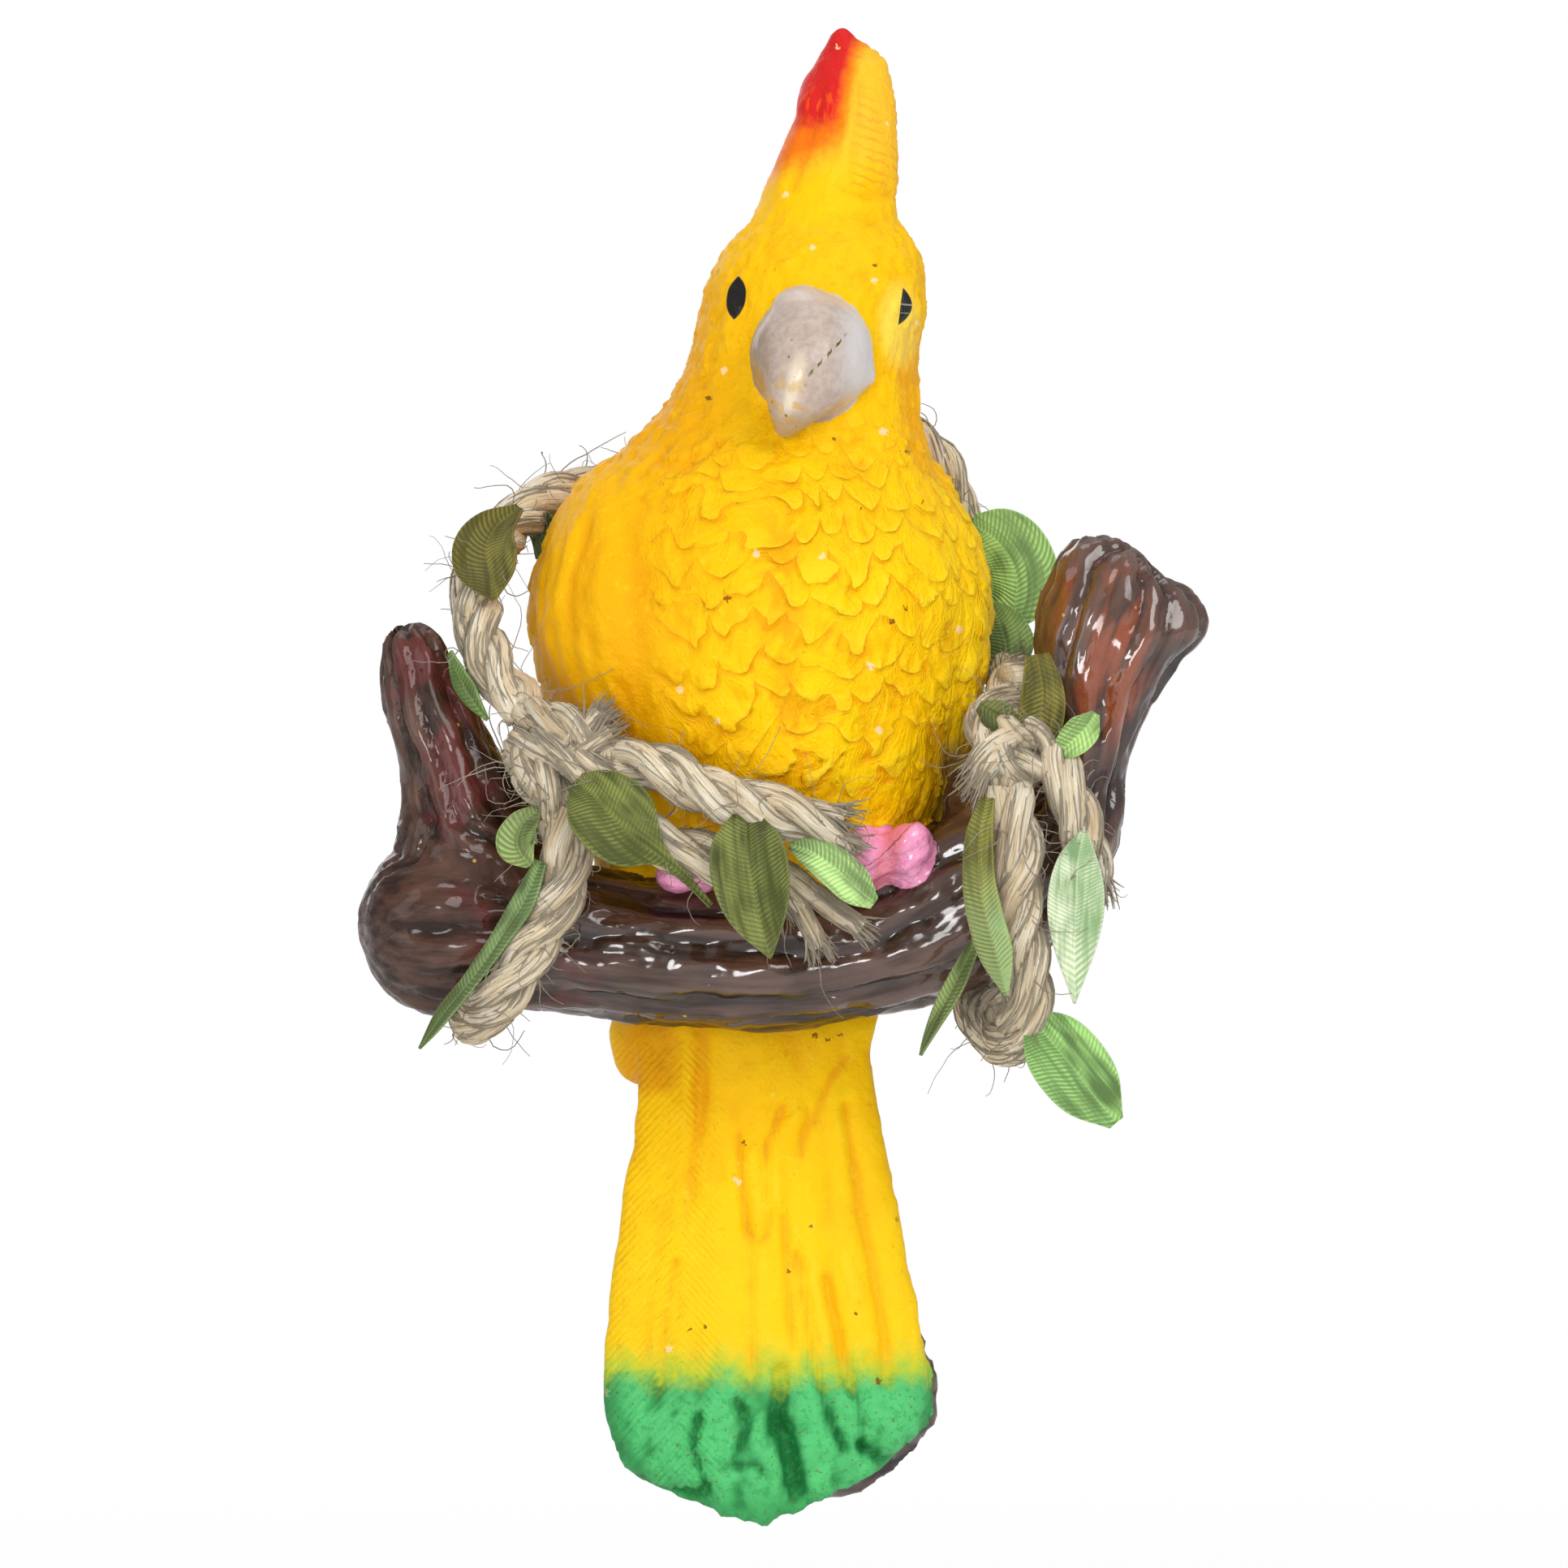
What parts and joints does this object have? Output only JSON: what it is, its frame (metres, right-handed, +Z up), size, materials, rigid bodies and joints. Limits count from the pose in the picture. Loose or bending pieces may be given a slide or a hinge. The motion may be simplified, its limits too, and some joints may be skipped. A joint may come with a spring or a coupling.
{
  "type": "hanging parrot figurine",
  "caption": "Painted cast parrot on a forked branch, hung from a leafy jute twine that is knotted round both ends of the branch.",
  "frame": {"origin": "top of the twine's loop behind the bird's neck, on the twine's centre line, where a nail or hook holds it", "axes": "+Z up, -Y towards the viewer (the bird's face), +X to the viewer's right along the branch"},
  "size_m": [0.0789, 0.0446, 0.14],
  "materials": {
    "painted_resin": "hand-painted polyresin: golden yellow bird with red crest tip, green tail tip, grey beak and pink feet on a glossy dark brown branch",
    "jute": "three-ply hairy jute twine",
    "green_satin": "ribbed green satin ribbon leaves"
  },
  "bodies": {
    "root": {"parrot_casting": "painted_resin", "twine_hanger": "jute", "twine_wrap_left": "jute", "twine_tail_left_long": "jute", "twine_tail_left_short": "jute", "twine_loop_right": "jute", "twine_tail_right": "jute", "knot_left": "jute", "knot_right": "jute", "leaf_shoulder_left": "green_satin", "leaf_shoulder_behind": "green_satin", "leaf_edge_left": "green_satin", "leaf_knot_left": "green_satin", "leaf_wrap_left": "green_satin", "leaf_knot_front": "green_satin", "leaf_tail_hanging": "green_satin", "leaf_tail_end": "green_satin", "leaf_right_upper": "green_satin", "leaf_right_middle": "green_satin", "leaf_knot_up": "green_satin", "leaf_knot_side": "green_satin", "leaf_knot_behind": "green_satin", "leaf_loop_long": "green_satin", "leaf_loop_low": "green_satin", "leaf_tail_right": "green_satin", "leaf_loop_end": "green_satin"}
  },
  "joints": []
}
